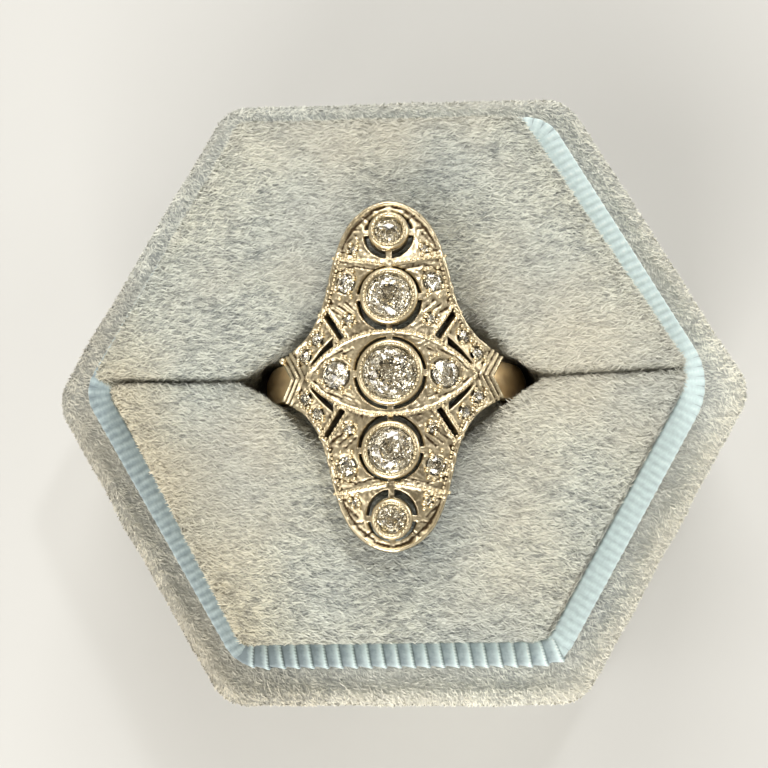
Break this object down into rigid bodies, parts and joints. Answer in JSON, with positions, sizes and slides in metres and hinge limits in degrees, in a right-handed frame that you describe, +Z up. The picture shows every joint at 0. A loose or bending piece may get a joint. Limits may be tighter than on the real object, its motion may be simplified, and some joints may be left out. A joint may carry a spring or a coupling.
{
  "type": "navette ring in a hexagonal ring box base",
  "caption": "Long navette-shaped ring with bezel-set stones, pierced gaps and shoulder wings on a plain shank, held in the slot of a hexagonal velvet box base with a ribbed ribbon trim",
  "frame": {"origin": "centre of the base's flat underside, on the table", "axes": "Z is up. X runs along the slot between the cushions, from point to point of the hexagon. Y runs along the finger and along the long face of the ring."},
  "size_m": [0.054, 0.0476, 0.0343],
  "materials": {
    "velvet": "short silvery blue-grey velvet pile",
    "card": "plain stiff card",
    "ribbon": "light blue ribbed ribbon",
    "ring_metal": "polished pale metal with a yellow gold shank",
    "stone": "clear faceted stones"
  },
  "bodies": {
    "root": {"base_shell": "velvet", "collar": "card", "ribbon": "ribbon", "cushion_back": "velvet", "cushion_front": "velvet", "ring_mount": "ring_metal", "stone_centre": "stone", "stone_large_upper": "stone", "stone_large_lower": "stone", "stone_small_upper": "stone", "stone_small_lower": "stone", "stone_side_right": "stone", "stone_side_left": "stone", "flank_stone_1": "stone", "flank_stone_2": "stone", "flank_stone_3": "stone", "flank_stone_4": "stone", "wing_stone_1": "stone", "wing_stone_2": "stone", "wing_stone_3": "stone", "wing_stone_4": "stone", "wing_stone_5": "stone", "wing_stone_6": "stone", "wing_stone_7": "stone", "wing_stone_8": "stone", "corner_stone_1": "stone", "corner_stone_2": "stone", "corner_stone_3": "stone", "corner_stone_4": "stone", "end_stone_1": "stone", "end_stone_2": "stone", "end_stone_3": "stone", "end_stone_4": "stone"}
  },
  "joints": []
}
